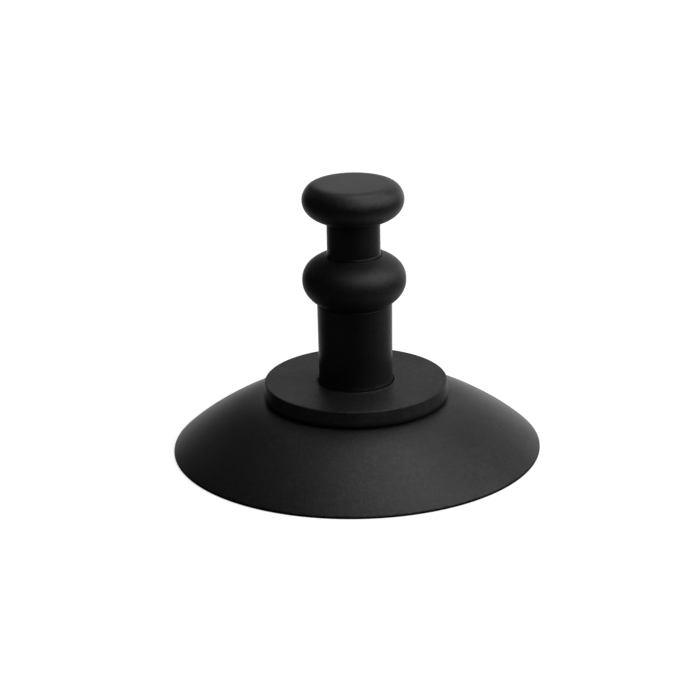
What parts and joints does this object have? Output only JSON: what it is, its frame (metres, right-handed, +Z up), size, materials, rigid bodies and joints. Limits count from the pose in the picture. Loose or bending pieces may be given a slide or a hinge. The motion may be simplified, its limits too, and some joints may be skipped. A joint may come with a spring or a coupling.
{
  "type": "sink plunger",
  "caption": "Compact push plunger: shallow rubber force cup clamped under a collar disc, with a short turned post, a round grip bulb, a neck and a flat-topped screw-on knob.",
  "frame": {"origin": "on the cup's axis, on the plane of its sealing lip", "axes": "+Z up along the handle, from the lip to the knob; X and Y lie on the lip plane"},
  "size_m": [0.12, 0.12, 0.0898],
  "materials": {
    "cup_rubber": "moulded rubber, fine speckled grain, satin",
    "seal_rubber": "smooth moulded rubber",
    "collar_plastic": "matt moulded plastic with faint turning marks",
    "handle_plastic": "matt moulded plastic, fine grain",
    "washer_plastic": "matt",
    "plate_steel": "zinc plated, fine radial brushing",
    "bolt_steel": "zinc plated",
    "insert_brass": "turned"
  },
  "bodies": {
    "cup": {"force_cup": "cup_rubber"},
    "handle": {"collar_disc": "collar_plastic", "bolt_seal_ring": "seal_rubber", "inner_clamp_plate": "plate_steel", "through_bolt": "bolt_steel", "flat_washer": "bolt_steel", "spring_washer": "bolt_steel", "collar_nut": "bolt_steel", "stem_post": "handle_plastic", "grip_ring": "handle_plastic", "neck_sleeve": "handle_plastic"},
    "knob_carrier": {"knob_washer": "washer_plastic"},
    "knob": {"top_knob": "handle_plastic", "knob_insert": "insert_brass"}
  },
  "joints": [
    {"name": "plunge", "type": "slide", "parent": "cup", "child": "handle", "axis": [0, 0, 1], "range_m": [-0.007, 0.003], "deforming": ["force_cup"]},
    {"name": "knob_lift", "type": "slide", "parent": "handle", "child": "knob_carrier", "axis": [0, 0, 1], "range_m": [0, 0.00625]},
    {"name": "knob_turn", "type": "hinge", "parent": "knob_carrier", "child": "knob", "pos_m": [0, 0, 0.0774], "axis": [0, 0, 1], "range_deg": [0, 1800]}
  ],
  "couplings": [
    {"joint": "knob_lift", "follows": "knob_turn", "m_per_rad": 0.00019894}
  ]
}
